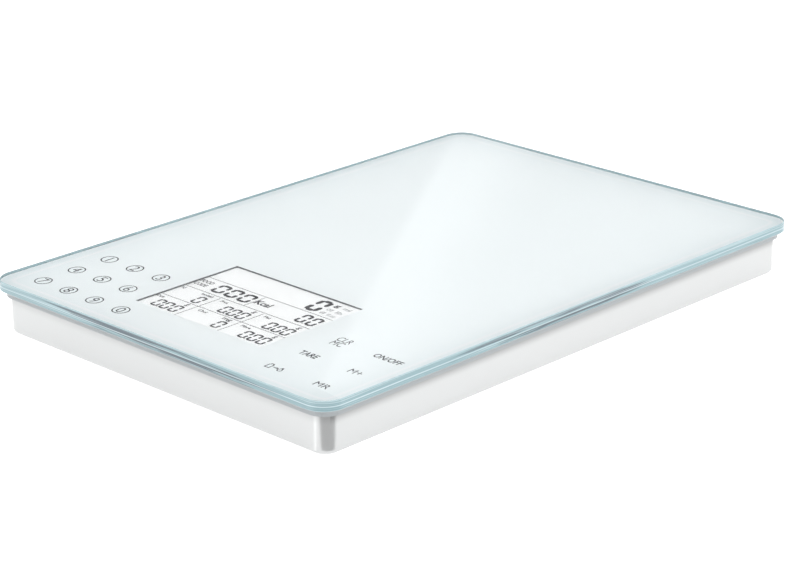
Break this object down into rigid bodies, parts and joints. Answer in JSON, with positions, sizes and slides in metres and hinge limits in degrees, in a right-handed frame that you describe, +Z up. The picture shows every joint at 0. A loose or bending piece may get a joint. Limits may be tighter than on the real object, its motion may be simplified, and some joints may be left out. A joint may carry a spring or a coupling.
{
  "type": "kitchen scale",
  "caption": "Slim digital kitchen scale: glass platform with printed touch keys and a display window, on a shallow tub with weighing feet and a battery door below.",
  "frame": {"origin": "centre of the footprint, on the surface that the foot pads stand on", "axes": "+Z up; +Y away from the user along the long side, with the display and touch keys at the -Y end; +X to the user's right"},
  "size_m": [0.18, 0.258, 0.023],
  "materials": {
    "platform_glass": "clear tempered glass, ground edge",
    "white_print": "white printed layer",
    "tape": "foam tape",
    "carrier_plastic": "satin",
    "housing_plastic": "satin silver-white lacquer",
    "screw_steel": "zinc plated",
    "spring_steel": "plain",
    "cap_plastic": "moulded",
    "foot_plastic": "moulded",
    "pad_rubber": "soft grey",
    "lead_white": "insulation",
    "gauge_film": "amber film",
    "gasket_foam": "dark foam",
    "polarizer_film": "clear grey film",
    "lcd_glass": "clear",
    "reflector_film": "white reflector",
    "frame_plastic": "moulded",
    "contact_rubber": "conductive layers",
    "board_laminate": "green solder mask",
    "chip_epoxy": "black",
    "can_metal": "bright",
    "ceramic": "tan",
    "connector_plastic": "moulded",
    "header_plastic": "black",
    "battery_jacket": "gloss printed jacket",
    "nickel_plate": "nickel plated",
    "lead_red": "insulation",
    "lead_black": "insulation",
    "label_paper": "blank sticker"
  },
  "bodies": {
    "case": {"amplifier_chip": "chip_epoxy", "back_print": "white_print", "base_housing": "housing_plastic", "battery_1": "battery_jacket", "battery_2": "battery_jacket", "battery_3": "battery_jacket", "battery_lead_negative": "lead_black", "battery_lead_positive": "lead_red", "board_capacitors": "ceramic", "board_screws": "screw_steel", "bonding_tape": "tape", "buzzer": "chip_epoxy", "cap_screws": "screw_steel", "case_screws": "screw_steel", "cell_cap_front_left": "cap_plastic", "cell_cap_front_right": "cap_plastic", "cell_cap_rear_left": "cap_plastic", "cell_cap_rear_right": "cap_plastic", "cell_lead_front_left": "lead_white", "cell_lead_front_right": "lead_white", "cell_lead_rear_left": "lead_white", "cell_lead_rear_right": "lead_white", "contact_bridges": "nickel_plate", "contact_springs": "nickel_plate", "contact_tabs": "nickel_plate", "crystal": "can_metal", "glass_carrier": "carrier_plastic", "glass_platform": "platform_glass", "lcd_frame": "frame_plastic", "lcd_front_glass": "lcd_glass", "lcd_front_polarizer": "polarizer_film", "lcd_gasket": "gasket_foam", "lcd_rear_glass": "lcd_glass", "lcd_reflector": "reflector_film", "lead_connectors": "connector_plastic", "load_cell_front_left": "spring_steel", "load_cell_front_right": "spring_steel", "load_cell_rear_left": "spring_steel", "load_cell_rear_right": "spring_steel", "main_board": "board_laminate", "main_chip": "chip_epoxy", "rating_label": "label_paper", "strain_gauges": "gauge_film", "touch_board_left": "board_laminate", "touch_board_right": "board_laminate", "touch_header_left": "header_plastic", "touch_header_right": "header_plastic", "zebra_strips": "contact_rubber"},
    "foot_front_left": {"foot_front_left": "foot_plastic", "foot_pad_front_left": "pad_rubber"},
    "foot_front_right": {"foot_front_right": "foot_plastic", "foot_pad_front_right": "pad_rubber"},
    "foot_rear_left": {"foot_rear_left": "foot_plastic", "foot_pad_rear_left": "pad_rubber"},
    "foot_rear_right": {"foot_rear_right": "foot_plastic", "foot_pad_rear_right": "pad_rubber"},
    "battery_door": {"battery_door": "housing_plastic"}
  },
  "joints": [
    {"name": "foot_front_left_travel", "type": "slide", "parent": "case", "child": "foot_front_left", "axis": [0, 0, 1], "range_m": [0, 0.0004], "stiffness_N_per_m": 20000, "deforming": ["load_cell_front_left"]},
    {"name": "foot_front_right_travel", "type": "slide", "parent": "case", "child": "foot_front_right", "axis": [0, 0, 1], "range_m": [0, 0.0004], "stiffness_N_per_m": 20000, "deforming": ["load_cell_front_right"]},
    {"name": "foot_rear_left_travel", "type": "slide", "parent": "case", "child": "foot_rear_left", "axis": [0, 0, 1], "range_m": [0, 0.0004], "stiffness_N_per_m": 20000, "deforming": ["load_cell_rear_left"]},
    {"name": "foot_rear_right_travel", "type": "slide", "parent": "case", "child": "foot_rear_right", "axis": [0, 0, 1], "range_m": [0, 0.0004], "stiffness_N_per_m": 20000, "deforming": ["load_cell_rear_right"]},
    {"name": "battery_door_hinge", "type": "hinge", "parent": "case", "child": "battery_door", "pos_m": [0, 0.07445, 0.0031], "axis": [1, 0, 0], "range_deg": [0, 90]}
  ]
}
